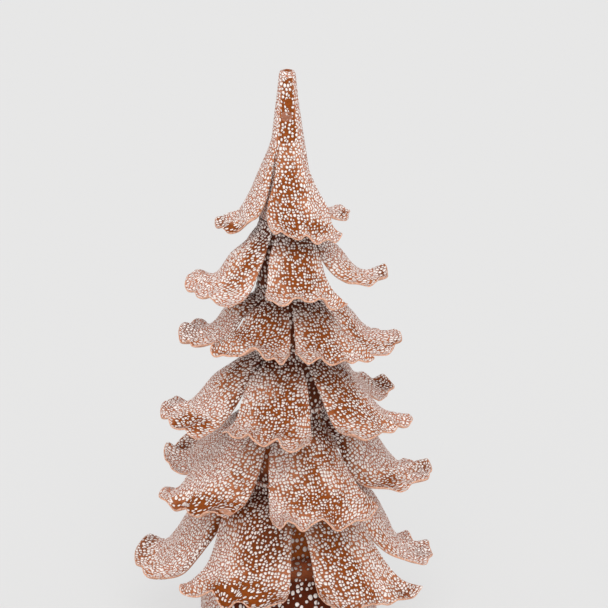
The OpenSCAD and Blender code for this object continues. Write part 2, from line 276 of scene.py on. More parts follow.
def lay_glaze(piece, **layers):
    """Writes down for each point how thick the glaze lay, how big its beads are, and so on."""
    for key, values in layers.items():
        layer = piece.data.attributes.new(key, "FLOAT", "POINT")
        layer.data.foreach_set("value", values)


def thrown(name, outline, sides=128):
    """A piece thrown on the wheel: a ring drawn up through the points of its outline."""
    first_r, first_z = outline[0]
    bpy.ops.mesh.primitive_circle_add(vertices=sides, radius=first_r, location=(0, 0, first_z))
    piece = bpy.context.object
    piece.name = name
    bpy.ops.object.transform_apply(location=True, rotation=True, scale=True)
    bpy.ops.object.mode_set(mode="EDIT")
    for (r0, z0), (r1, z1) in zip(outline, outline[1:]):
        bpy.ops.mesh.extrude_region_move(TRANSFORM_OT_translate={"value": (0, 0, z1 - z0)})
        bpy.ops.transform.resize(value=(r1 / r0, r1 / r0, 1), center_override=(0, 0, z1))
    if outline[0] != outline[-1]:
        bpy.ops.mesh.edge_face_add()
        bpy.ops.mesh.select_all(action="DESELECT")
        bpy.ops.mesh.select_mode(type="EDGE")
        bpy.ops.mesh.select_non_manifold()
        bpy.ops.mesh.edge_face_add()
    bpy.ops.mesh.select_all(action="SELECT")
    bpy.ops.mesh.remove_doubles(threshold=1e-6)
    bpy.ops.mesh.normals_make_consistent(inside=False)
    bpy.ops.object.mode_set(mode="OBJECT")
    return piece


def finish_thrown(piece, bevel, wobble, cover, grain, edge, deep):
    """Softens the rims, lets the wall wander as a hand leaves it, and says where the glaze lies."""
    soften = piece.modifiers.new("soften", "BEVEL")
    soften.width = bevel
    soften.segments = 2
    soften.limit_method = "ANGLE"
    soften.angle_limit = math.radians(40)
    bpy.ops.object.modifier_apply(modifier=soften.name)
    # the pattern runs round the piece, from a seam at its back, and up its wall
    spread = piece.data.uv_layers.new(name="wall")
    for face in piece.data.polygons:
        heading = math.atan2(face.center.x, -face.center.y)
        for loop, index in zip(face.loop_indices, face.vertices):
            x, y, z = piece.data.vertices[index].co
            turned = heading + (math.atan2(x, -y) - heading + math.pi) % (2 * math.pi) - math.pi
            radius = math.hypot(x, y)
            spread.data[loop].uv = (turned * radius + 0.4, z - radius)
    rules = {"cover": cover, "grain": grain, "edge": edge, "deep": deep}
    lay_glaze(piece, **{key: [rule(*vertex.co) for vertex in piece.data.vertices]
                        for key, rule in rules.items()})
    for vertex in piece.data.vertices:
        x, y, z = vertex.co
        drift = 1 + wobble * noise.noise(Vector((x * 14, y * 14, z * 30)))
        vertex.co.x *= drift
        vertex.co.y *= drift
    bpy.ops.object.shade_smooth_by_angle(angle=math.radians(50))


foot_r, foot_top, foot_wall = 0.09, 0.083, 0.007
foot_band, foot_bore, foot_ring = 0.026, 0.039, 0.006
shoulder_r = 0.0452
rim = 0.0012  # how far the thrown rims are rounded
bell_steps = 16
foot_outline = [(foot_r - foot_wall, 0.001), (foot_r - foot_ring, 0),
                (foot_r - rim, 0), (foot_r, rim)]
for step in range(bell_steps + 1):
    turn = math.pi / 2 * step / bell_steps
    foot_outline.append((shoulder_r + (foot_r - shoulder_r) * math.cos(turn),
                         foot_band + (foot_top - foot_band) * math.sin(turn)))
foot_outline[-1] = (shoulder_r, foot_top)
foot_outline.append((foot_bore, foot_top))
for step in range(bell_steps, -1, -1):
    turn = math.pi / 2 * step / bell_steps
    foot_outline.append((foot_bore + (foot_r - foot_wall - foot_bore) * math.cos(turn),
                         foot_band + (foot_top - foot_band - foot_wall) * math.sin(turn)))
foot_outline.append((foot_r - foot_wall, 0.001))
foot = thrown("foot", foot_outline)
foot_glaze = crawled_glaze("foot_glaze", "wall", (88, 34, 13), (150, 88, 62), (196, 112, 72),
                           bead=0.0039, fill=0.27, stretch=1.2, big=1.55, bare=(150, 88, 60))
foot.data.materials.append(foot_glaze)


def foot_cover(x, y, z):
    """Thin in front and thick from the sides on, with an uneven border."""
    round_from_front = abs(math.degrees(math.atan2(x, -y)))
    round_from_front += 26 * noise.noise(Vector((x * 45, y * 45, z * 45)))
    return 0.02 + 0.85 * min(1, max(0, (round_from_front - 22) / 44))


# the last rule marks the foot's top band, its own ochre colour, in the deep layer
finish_thrown(foot, rim, 0.006, foot_cover, lambda x, y, z: 1, lambda x, y, z: edge_reach,
              lambda x, y, z: min(1, max(0, (z - 0.07) / 0.01)))
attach(foot, "base")
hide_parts("foot_bell")


# Cores: thrown tubes of the same clay, each with a socket below and a neck on top that stands in
# the next, so that the sections lift off one another. Small beads of glaze lie thinly on them, and
# the clay is painted darker as shade where the leaves hang over it.
# its third colour is the painted shade where the leaves hang over the cores
core_glaze = crawled_glaze("core_glaze", "wall", (176, 92, 36), (196, 124, 84), (84, 38, 22),
                           bead=0.0053, fill=0.28, stretch=1.1, big=1.3, bare=(178, 124, 96))
rim_radii = [0.044 - 0.0032 * tier for tier in range(6)]
core_heights = [0.079, 0.078, 0.065, 0.058, 0.069]
core_bodies = ["base", "tier_5", "tier_4", "tier_3", "tier_2"]
# how much painted shade each core gets under the leaves, from the lowest up
core_shade = [0.14, 0.4, 0.95, 0.95, 0.95]
wall, ledge, neck_height, neck_wall, neck_gap = 0.005, 0.0012, 0.01, 0.0035, 0.001
wall_steps, seat_band = 12, 0.012
seat = foot_top
for tier, height in enumerate(core_heights):
    low_r, high_r = rim_radii[tier], rim_radii[tier + 1] + ledge
    socket, neck = low_r - wall, rim_radii[tier + 1] - wall - neck_gap
    thin = height - wall - neck_wall
    outline = [(socket, 0), (low_r - rim, 0), (low_r, rim)]
    outline += [(low_r + (high_r - low_r) * step / wall_steps,
                 rim + (height - rim) * step / wall_steps) for step in range(1, wall_steps + 1)]
    outline += [(neck, height), (neck, height + neck_height),
                (neck - neck_wall, height + neck_height), (neck - neck_wall, height),
                (high_r - wall, thin), (socket, neck_height + neck_gap), (socket, 0)]
    node_name = f"tier_{6 - tier}_core"
    core = thrown("turned_" + node_name, [(r, seat + z) for r, z in outline])
    core.data.materials.append(core_glaze)
    top = seat + height
    # the last rule is painted shade: darker under the leaves, by core_shade, and by 0.9 in the band
    # at each seat
    finish_thrown(core, 0.0006, 0.002,
                  lambda x, y, z: 0.9 if top - 0.003 < z < top + 0.001 else 0.15,
                  lambda x, y, z: 0, lambda x, y, z: edge_reach,
                  lambda x, y, z: core_shade[tier] if z > seat + seat_band or tier == 0 else 0.9)
    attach(core, core_bodies[tier])
    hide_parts(node_name)
    seat += height


# Peak: a slender closed cone drawn up from the top section, its blunt end left rounded. Where a
# finger pressed the front leaf on, and on the end itself, the clay is bare.
peak_r, peak_end, peak_height = rim_radii[5], 0.008, 0.150
peak_lean = 0.0009
finger_z, slip_z = 0.5385, 0.5518
# leaf_deep is the colour of the painted shade in the recesses
leaf_clay, leaf_film, leaf_deep = (138, 68, 22), (182, 114, 78), (80, 35, 21)
peak_glaze = crawled_glaze("peak_glaze", "wall", leaf_clay, leaf_film, leaf_deep,
                           bead=0.0036, fill=0.31, stretch=1.35, big=1.3, bare=(160, 106, 84))


def peak_side(z):
    return peak_end + (peak_r - peak_end) * (1 - z / peak_height) ** 1.15


outline = [(0.0004, 0.140), (peak_side(0.14) - wall, 0.138)]
outline += [(peak_side(z / 1000) - wall, z / 1000) for z in range(130, 15, -10)]
outline += [(peak_r - wall, 0.011), (peak_r - wall, 0), (peak_r - rim, 0), (peak_r, rim)]
outline += [(peak_side(z / 1000), z / 1000) for z in range(5, 96, 5)]
outline += [(peak_side(z / 1000), z / 1000) for z in range(96, 147, 1)]
outline += [(0.0079, 0.1475), (0.0072, 0.1492), (0.0056, 0.1502), (0.0036, 0.1498),
            (0.0004, 0.1492)]
peak = thrown("peak_cone", [(r, seat + z) for r, z in outline], 144)
peak.data.materials.append(peak_glaze)


def peak_bare(x, y, z):
    """The finger mark, a little wider than high."""
    held = math.hypot((x + 0.0015) / 0.0068, (z - finger_z) / 0.0064)
    return max(0, min(edge_reach, (held - 0.8) * 7)) if y < 0 else edge_reach


def peak_cover(x, y, z):
    """None where it slipped off above the finger mark and on the end, thin in front."""
    round_from_front = abs(math.degrees(math.atan2(x + 0.0005, -y)))
    slip = math.hypot((x - 0.0005) / 0.004, (z - slip_z) / 0.0052)
    top = math.hypot(x + peak_lean, y) / 0.0045
    if (slip < 1 and y < 0) or (top < 1 and z > seat + 0.148):
        return -1
    return 0.1 + 0.8 * min(1, max(0, (round_from_front - 28) / 26)) if z < seat + 0.144 else 0.9


for vertex in peak.data.vertices:
    # the end leans to the left by a little
    vertex.co.x -= peak_lean * min(1, max(0, (vertex.co.z - seat - 0.05) / 0.06))
finish_thrown(peak, 0.0004, 0.012, peak_cover, lambda x, y, z: 0, peak_bare, lambda x, y, z: 0)
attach(peak, "peak")
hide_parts("peak_core")


# Lowest ring: six leaves cut from a rolled slab, bent over the core like roof tiles and luted on
# at the root. Their ends were pulled out by hand into ruffled lips, and the edges wiped bare.
def ease(t):
    t = min(1, max(0, t))
    return t * t * (3 - 2 * t)


def along(stops, t):
    """The smooth line through evenly spaced stops, t from 0 to 1."""
    spot = min(1, max(0, t)) * (len(stops) - 1)
    n = min(len(stops) - 2, int(spot))
    f = spot - n
    p0, p1, p2, p3 = (Vector(stops[min(len(stops) - 1, max(0, n + k))]) for k in (-1, 0, 1, 2))
    return 0.5 * (2 * p1 + (p2 - p0) * f + (2 * p0 - 5 * p1 + 4 * p2 - p3) * f * f
                  + (3 * p1 - 3 * p2 + p3 - p0) * f ** 3)


def between(left, middle, right, u):
    """The smooth line through three places, u from -1 at the left to 1 at the right."""
    return middle + (right - left) * u / 2 + (left + right - 2 * middle) * u * u / 2


leaf_glaze = crawled_glaze("leaf_glaze", "slab", leaf_clay, leaf_film, leaf_deep,
                           bead=0.0042, fill=0.33, stretch=1.12, big=1.25, bare=(220, 170, 144))
slab_thickness, widest_slab = 0.004, 0.114
cells_across, cells_along = 56, 40
row, half_row = cells_across + 1, cells_across // 2
root_part = 0.1  # the share of a leaf's mesh that lies flat on the core
plain_back = [(0.5, 0, 0.6, 0.6, 0.5)]  # the patches of the leaves that hang behind


def leaf_ring(tier, body, core, slab, line, leaves):
    """core: where it stands, its height, its lower and upper radius, how its wall curves and the
    height of the leaves' roots. slab: reach and width of its leaves, and how fine their beads are.
    line: lean, curl and the two handles of the leaves' curve. leaves: place, direction, shares of
    reach, height and width, how thick the glaze lay, its patches (how much thinner it is there, or
    "large" beads, "deep" for painted shadow or "bare" clay; across, along, and two sizes)
    and the hand's work. That is either how far the slab was pushed, in millimetres across and up as
    seen from the front, at the left edge, the middle and the right edge and then along the lip, or
    just where the ruffle of the lip starts.
    the ruffle of the lip starts."""
    seat_z, high, low_r, high_r, power, root_z = core
    reach, width, fineness = slab
    lean, curl, shoulder, lip = math.radians(line[0]), math.radians(line[1]), line[2], line[3]
    for order, (place, turn, out, tip, wide, thickness, patches, hand) in enumerate(leaves):
        before, after = leaves[order - 1][1], leaves[(order + 1) % len(leaves)][1]
        room_left = math.radians((turn - before) % 360 / 2) * 0.97
        room_right = math.radians((after - turn) % 360 / 2) * 0.97
        full = width * wide / 2

        def seated(z):
            core_r = high_r + (low_r - high_r) * (1 - z / high) ** power
            return Vector((core_r + 0.0003, seat_z + z))

        root, bend = seated(root_z), seated(root_z - 0.008)
        end = Vector((reach * out, seat_z + high * tip))
        stand = end.x - bend.x
        a, b = bend, bend + shoulder * stand * Vector((math.cos(lean), -math.sin(lean)))
        c, d = end - lip * stand * Vector((math.cos(curl), math.sin(curl))), end

        def on_line(t):
            return ((1 - t) ** 3 * a + 3 * (1 - t) ** 2 * t * b
                    + 3 * (1 - t) * t * t * c + t ** 3 * d)

        def way_at(t):
            way = (1 - t) ** 2 * (b - a) + 2 * (1 - t) * t * (c - b) + t * t * (d - c)
            return way.normalized()

        length = 0
        for step in range(1, 41):
            length += (on_line(step / 40) - on_line((step - 1) / 40)).length

        if isinstance(hand, tuple):
            left, middle, right, pulled = hand
            left = [(0, 0)] + left + [pulled[0]]
            middle = [(0, 0)] + middle + [pulled[6]]
            right = [(0, 0)] + right + [pulled[12]]

        bpy.ops.mesh.primitive_grid_add(
            x_subdivisions=cells_across, y_subdivisions=cells_along, size=2)
        leaf = bpy.context.object
        leaf.name = f"{tier}_{place}_slab"
        facing = math.radians(turn)
        lays, grains, bares, deeps, thicks = [], [], [], [], []
        for vertex in leaf.data.vertices:
            u, t = vertex.co.x, (vertex.co.y + 1) / 2
            v = max(0, (t - root_part) / (1 - root_part))
            v_end = v * (1 - v * 0.08 * abs(u) ** 5)
            on_root = t < root_part
            at = root.lerp(bend, t / root_part) if on_root else on_line(v_end)
            way = (bend - root).normalized().lerp(way_at(v_end), min(1, v / 0.06)).normalized()
            wish = full * (0.8 + 0.2 * v + 0.12 * v ** 5)
            room = at.x * (room_left if u < 0 else room_right) - 0.00125
            half = room * wish / (room ** 8 + wish ** 8) ** 0.125
            root_r = at.x if on_root else bend.x
            back = root_r + (max(root_r, 0.62 * width) - root_r) * ease(v / 0.77)
            angle = u * half / back
            loose = ease((v - 0.55) / 0.45)
            thick = 0.0015 + 0.0025 * ease(v / 0.4)
            free = ease(v / (0.18 + 0.2 * (1 - abs(u)))) if tier == "peak" else ease(t / 0.08)
            pressed = 1 - free
            skin = back + thick - (thick + 0.0009) * pressed
            rise = skin * math.cos(angle) - back + 0.7 * loose * back * (1 - math.cos(angle))
            push = Vector((0, 0))
            if isinstance(hand, tuple):
                push = between(along(left, v), along(middle, v), along(right, v), u)
                ends = [Vector(stops[-1]) for stops in (left, middle, right)]
                push += (along(pulled, (u + 1) / 2) - between(*ends, u)) * ease((v - 0.6) / 0.4)
            else:
                ruffle = 0.006 * width / widest_slab * loose * (0.6 + 0.4 * abs(u))
                rise += ruffle * math.sin(math.radians(hand + 540 * u))
            rise += 0.0012 * v * noise.noise(Vector((u * 2.2 + turn, v * 3 + reach * 50, 0)))
            small_waves = Vector((u * half * 130 + turn, v * 7, reach * 50))
            rise += 0.0016 * loose * loose * noise.noise(small_waves)
            radius = at.x - rise * way.y
            x = skin * math.sin(angle)
            vertex.co = (x * math.cos(facing) + radius * math.sin(facing) + push.x / 1000,
                         x * math.sin(facing) - radius * math.cos(facing),
                         at.y + rise * way.x + push.y / 1000)
            from_side, from_end = (1 - abs(u)) * half * 1000, (1 - v) * length * 1000
            wiped = v > (0.45 if tier == "peak" else 0.15)
            bare = min(edge_reach, from_side * 1.3 if wiped else edge_reach, from_end)
            # painted shade: the part of each leaf near its root, under the ring above, is darkened;
            # none on the peak
            lay, grain, shading = thickness, 0, 0 if tier == "peak" else 0.95 - 0.95 * ease(v / 0.34)
            for kind, across, down, wide_by, long_by in patches:
                near = math.exp(-((u - across) / wide_by) ** 2 - ((v - down) / long_by) ** 2)
                # a deep patch is painted shadow, in a curl or under a lip, with the glaze a little
                # thinner there
                if kind == "deep":
                    shading += near * 0.6
                    lay -= near * 0.3
                elif kind == "large":
                    lay -= near * 0.8
                    grain += near
                # a bare patch also takes some of the painted-shade layer, which turns its bare clay
                # a darker tan
                elif kind == "bare":
                    bare = min(bare, max(0, (0.5 - near) * 12))
                    shading += near * 0.45
                else:
                    lay -= kind * near
            lays.append(min(1, max(-0.4, lay)))
            grains.append(grain)
            bares.append(bare)
            deeps.append(min(1, shading))
            thicks.append((0.4 + 0.6 * ease(v / 0.4)) * (1 - 0.48 * ease((v - 0.7) / 0.3))
                          * (1 - 0.35 * ease((abs(u) - 0.6) / 0.4)))
        # the glaze follows the true lengths on the slab, from its middle line and from its root
        spots = [vertex.co for vertex in leaf.data.vertices]
        across, down = [0.0] * len(spots), [0.0] * len(spots)
        for n in range(1, len(spots)):
            if n % row > half_row:
                across[n] = across[n - 1] + (spots[n] - spots[n - 1]).length
            if n >= row:
                down[n] = down[n - row] + (spots[n] - spots[n - row]).length
        for n in reversed(range(len(spots))):
            if n % row < half_row:
                across[n] = across[n + 1] - (spots[n + 1] - spots[n]).length
        spread = leaf.data.uv_layers.active
        spread.name = "slab"
        for loop in leaf.data.loops:
            n = loop.vertex_index
            spread.data[loop.index].uv = (across[n] * fineness + reach,
                                          down[n] * fineness + turn / 50)
        lay_glaze(leaf, cover=lays, grain=grains, edge=bares, deep=deeps)
        rolled = leaf.vertex_groups.new(name="rolled")
        for index, thick in enumerate(thicks):
            rolled.add([index], thick, "REPLACE")
        slab_wall = leaf.modifiers.new("slab", "SOLIDIFY")
        slab_wall.thickness = slab_thickness
        slab_wall.offset = 1
        slab_wall.vertex_group = "rolled"
        bpy.ops.object.modifier_apply(modifier=slab_wall.name)
        # the underside is bare where the lip was wiped
        for bare, under in zip(bares, leaf.data.attributes["edge"].data[:len(bares)]):
            under.value = 0 if bare < edge_reach else edge_reach
        rounded = leaf.modifiers.new("rounded", "SUBSURF")
        rounded.levels = rounded.render_levels = 1
        bpy.ops.object.modifier_apply(modifier=rounded.name)
        bpy.ops.object.shade_smooth()
        leaf.data.materials.append(leaf_glaze)
        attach(leaf, body)
        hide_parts(f"{tier}_{place}_leaf")


leaf_ring("tier_6", "base",
          (0.083, 0.079, 0.044, 0.042, 1, 0.077), (0.152, 0.114, 1.13), (20, 35, 0.45, 0.42), [
    ("left", -86, 1, 0.02, 1, 0.95, [(0.45, 0.2, 1, 1.2, 0.3), (0.75, 1, 0.3, 0.4, 0.18),
     ("deep", -0.45, 0.95, 0.5, 0.08), ("deep", 0.98, 0.55, 0.12, 0.4)],
     ([(-3.5, 7), (-6.5, 7.5), (-5.5, 6), (4, -0.5)],
      [(-2.5, 7), (-5, 7.5), (-1.5, 1.5), (-0.5, -6.5)],
      [(-3, 0.5), (1, 4.5), (2.5, 6), (8, 1.5)],
      [(15, -4), (15, -2), (11.5, 1), (6, -0.5), (0, -4), (-5.5, -8.5), (-7.5, -12.5), (-7, -14.5),
       (-4, -13.5), (-0.5, -8), (2, -10), (5.5, -8), (7.5, -1.5)])),
    ("front_left", -23, 0.98, 0.03, 1.02, 0.7, [(0.6, 0.2, 0.4, 0.7, 0.5),
     (0.55, -0.6, 0.1, 0.4, 0.18), (-0.3, -0.6, 0.6, 0.4, 0.18), ("deep", 0.35, 0.36, 0.5, 0.16),
     ("large", 0.3, 0.92, 0.75, 0.2)],
     ([(-11.5, 3), (-4.5, 1.5), (0.5, 6), (0.5, 9)],
      [(-1, 1), (-2, 0.5), (-2.5, 0.5), (-4.5, -4.5)],
      [(-1.5, 0.5), (-2.5, 0.5), (-2.5, 1), (-1, 4.5)],
      [(1, 7.5), (-3, -2.5), (2.5, -8), (2.5, -7), (2, -2.5), (-3, -11), (-6, -20), (-7, -11.5),
       (-8, -9), (-9, -12), (-7, -9.5), (-4.5, -0.5), (-1, 6)])),
    ("front_right", 35, 1.01, 0.01, 1, 0.6, [(0.55, -0.4, 0.6, 0.7, 0.5),
     ("deep", 0.8, 0.9, 0.2, 0.08)],
     ([(4.5, -0.5), (8, 0), (7, 3), (3, 6.5)],
      [(2.5, -0.5), (3, 1), (4, -0.5), (2, -4)],
      [(2, 1.5), (3.5, 1), (2.5, 2.5), (3, 0)],
      [(0.5, 6.5), (1, -4), (2, -12.5), (2.5, -16.5), (1.5, -17), (0, -16), (-1, -17.5),
       (-1.5, -20.5), (-2.5, -22), (-3, -18), (-2, -17.5), (0.5, -13.5), (6, -1.5)])),
    ("right", 88, 0.95, 0.09, 0.74, 0.9, [(0.4, -0.8, 0.4, 0.7, 0.5), (-0.4, -0.2, 0.7, 0.4, 0.1),
     ("deep", -0.3, 0.92, 0.35, 0.07)],
     ([(-1, -1), (-2.5, -2), (-1.5, -0.5), (-1.5, 2.5)],
      [(1, 16), (-0.5, 12.5), (-8, 8), (-7.5, -0.5)],
      [(1, 11), (0.5, 12.5), (-3, 11), (-14.5, -1)],
      [(1.5, -3), (1, -7), (1.5, -6.5), (4.5, -7.5), (3.5, -9), (1.5, -6.5), (0, -3.5), (-3, -4.5),
       (-10, -11), (-16, -11.5), (-19, -6), (-21, -2.5), (-22.5, -4)])),
    ("back_right", 148, 0.76, -0.1, 0.8, 0.85, plain_back, 160),
    ("back_left", 206, 0.8, -0.06, 0.9, 0.85, plain_back, 200),
])


# Second ring: six leaves of the same slab, a little smaller. The front left one kept a bare patch
# near its end, where a thumb turned it over.
leaf_ring("tier_5", "tier_5",
          (0.162, 0.078, 0.0408, 0.0388, 1, 0.076), (0.141, 0.104, 1.22), (25, 32, 0.42, 0.4), [
    ("front_left", -52, 0.92, 0.03, 1, 0.85, [(0.6, 0.8, 0.6, 0.7, 0.5),
     ("large", 0.3, 0.9, 0.8, 0.14), ("bare", 0.9, 0.9, 0.14, 0.06)],
     ([(-0.5, 0.5), (-2, -1), (-6, 3.5), (1, -1.5)],
      [(-1, 0.5), (-1, 1), (-4, 2), (-5.5, -4.5)],
      [(0, 0.5), (0.5, 1), (0.5, 0.5), (2.5, 2)],
      [(10, 1), (3, 1), (-6, -6), (-10, -9.5), (-9.5, -11.5), (-9, -19), (-8.5, -15), (-8.5, -11.5),
       (-9.5, -13.5), (-6.5, -11.5), (-3.5, -2), (0, 2.5), (2.5, 0)])),
    ("front", 15, 0.99, 0.06, 1, 0.6, [(0.5, 0.2, 0.5, 0.7, 0.5), (0.4, 0.8, 0.1, 0.4, 0.18),
     (-0.55, 0.4, 0.5, 0.25, 0.1)],
     ([(-2, 0), (0, -1), (0.5, 1.5), (0.5, 3.5)],
      [(0, 0), (-0.5, 0), (0.5, 0), (0, -1)],
      [(0.5, 0.5), (2, 2), (4, 7), (5, 13.5)],
      [(2, 3), (1, -6.5), (0, -1), (-0.5, -7.5), (-1.5, -16), (-1.5, -10), (-2, -7), (-3, -14.5),
       (-5.5, -21), (-5.5, -14.5), (-4.5, -7.5), (0, -4), (3, 10)])),
    ("right", 84, 0.99, 0.11, 0.8, 0.8, [(0.45, -1, 0.6, 0.7, 0.5), (0.55, -1, 0.1, 0.4, 0.18),
     (0.4, -0.6, 0.78, 0.35, 0.12), ("deep", 0.1, 0.94, 0.35, 0.07),
     ("deep", -0.95, 0.25, 0.2, 0.2)],
     ([(-3, -2), (-10.5, -11), (-13.5, -7.5), (-11, 0.5)],
      [(2.5, 4), (2, 3), (-3, -0.5), (-0.5, -2)],
      [(2.5, 3.5), (4, 3), (1, 1.5), (-9.5, 0)],
      [(-14, -3), (-12, -4.5), (-9.5, -3), (-3.5, -4.5), (4, -6.5), (6, -3), (8, -3), (6, -1),
       (1.5, 3.5), (-3.5, 0), (-11, -4), (-16.5, -1.5), (-18.5, 1)])),
    ("back_right", 145, 0.8, -0.05, 0.8, 0.85, plain_back, 120),
    ("back", 196, 0.85, 0, 0.8, 0.85, plain_back, 160),
    ("back_left", 252, 0.84, 0.1, 0.8, 0.9, [(0.4, -0.2, 1, 1.2, 0.18),
     ("deep", -0.5, 0.9, 0.5, 0.09)],
     ([(0, -0.5), (-0.5, 4.5), (-2.5, 9.5), (-1.5, 11.5)],
      [(0, 0.5), (-1, 2.5), (-2, 3), (-5, 1)],
      [(0, -0.5), (2.5, -2.5), (6.5, 0.5), (12.5, 0)],
      [(0.5, 6.5), (2.5, 11.5), (-3, 10), (-7.5, 5.5), (-11, 0), (-12.5, 4.5), (-14, 8), (-14, 3.5),
       (-10.5, -1.5), (-4, -3), (1.5, -6.5), (10.5, -7), (17.5, -2.5)])),
])


# Third ring: six leaves of the same slab and clay, luted on like those below. The front one hangs
# square to the camera, and the left one was pulled out into a rounded tongue.
leaf_ring("tier_4", "tier_4",
          (0.24, 0.065, 0.0376, 0.0356, 1, 0.063), (0.128, 0.096, 1.24), (36, 30, 0.4, 0.4), [
    ("left", -66, 0.95, 0.06, 1, 0.85, [(0.4, 0.6, 0.3, 0.7, 0.5), (0.55, 0.6, 0.9, 0.4, 0.18),
     (0.55, 0.2, 0.2, 0.25, 0.1), (-0.4, 0.4, 0.6, 0.4, 0.1), (0.5, 0.5, 0.85, 0.4, 0.13),
     ("deep", -0.5, 0.93, 0.4, 0.08), ("deep", 0.98, 0.4, 0.15, 0.3)],
     ([(-1.5, 0.5), (-2.5, 3), (-1, 1), (7.5, 2)],
      [(-4, 2), (-5, 5.5), (-5, 2.5), (-8.5, -1)],
      [(-1, 2.5), (-2.5, -1), (-3, 1), (-1.5, -0.5)],
      [(16.5, 4), (13, 6), (7, 3.5), (-1, 2.5), (-9, 1), (-15, -6), (-17.5, -9), (-15, -5.5),
       (-16, -10.5), (-13, -10.5), (-6.5, -5.5), (-5.5, -8.5), (-4, -9)])),
    ("front", -9, 1, 0.07, 1, 0.55, [(0.45, 0.2, 0.4, 0.7, 0.5), (0.65, -0.2, 0, 1.2, 0.1)],
     ([(-7, 1), (-4.5, 0), (-1.5, 3.5), (-1.5, 8)],
      [(0.5, 0), (-0.5, -0.5), (-0.5, -2), (-2.5, -6)],
      [(1, 1), (-1.5, 1), (-3.5, 2), (-4, 3.5)],
      [(0.5, 6.5), (1, 6), (0, -1), (-0.5, -2.5), (-1.5, 0.5), (-3.5, -6.5), (-5.5, -12.5),
       (-7, -7), (-8.5, -2.5), (-11, -9.5), (-11, -12.5), (-8.5, -4.5), (-6.5, 1.5)])),
    ("front_right", 50, 0.98, 0.05, 1, 0.5, [(0.45, -0.4, 0.3, 0.7, 0.5),
     (0.55, 0.6, 0.2, 0.4, 0.1), (-0.65, 1, 0.6, 0.4, 0.3)],
     ([(4, 1), (6, 2.5), (5.5, 4), (3, 5.5)],
      [(1, 0.5), (2, 2), (3, 3), (3, -1)],
      [(3, 0.5), (1.5, 3.5), (0.5, 3.5), (-4.5, 4.5)],
      [(2.5, 7), (2, 0), (3.5, -7.5), (6, -9.5), (6.5, -8.5), (3, -10), (2, -12), (4, -14),
       (3.5, -10.5), (3.5, -13), (2, -12), (2.5, -3.5), (-2, 3)])),
    ("right", 112, 0.79, 0.14, 0.75, 0.8, [(0.35, -0.2, 1, 0.7, 0.18), ("deep", 0, 0.9, 0.4, 0.1)],
     ([(-0.5, 0), (-0.5, -1), (-2, 0), (-7.5, -0.5)],
      [(2, 2), (0, -0.5), (-2.5, -3), (2.5, -8)],
      [(2, 2), (5.5, 4), (7, 5.5), (2.5, 1.5)],
      [(-12, -8.5), (-9, -11), (-3, -10.5), (1, -7.5), (7.5, -8.5), (13, -9), (12, -6), (9.5, -2),
       (8, -1.5), (5.5, -8), (2.5, -9), (0.5, -3.5), (-0.5, -0.5)])),
    ("back", 171, 0.85, 0.11, 0.9, 0.85, plain_back, 160),
    ("back_left", 230, 0.7, -0.1, 0.9, 0.85, plain_back, 200),
])


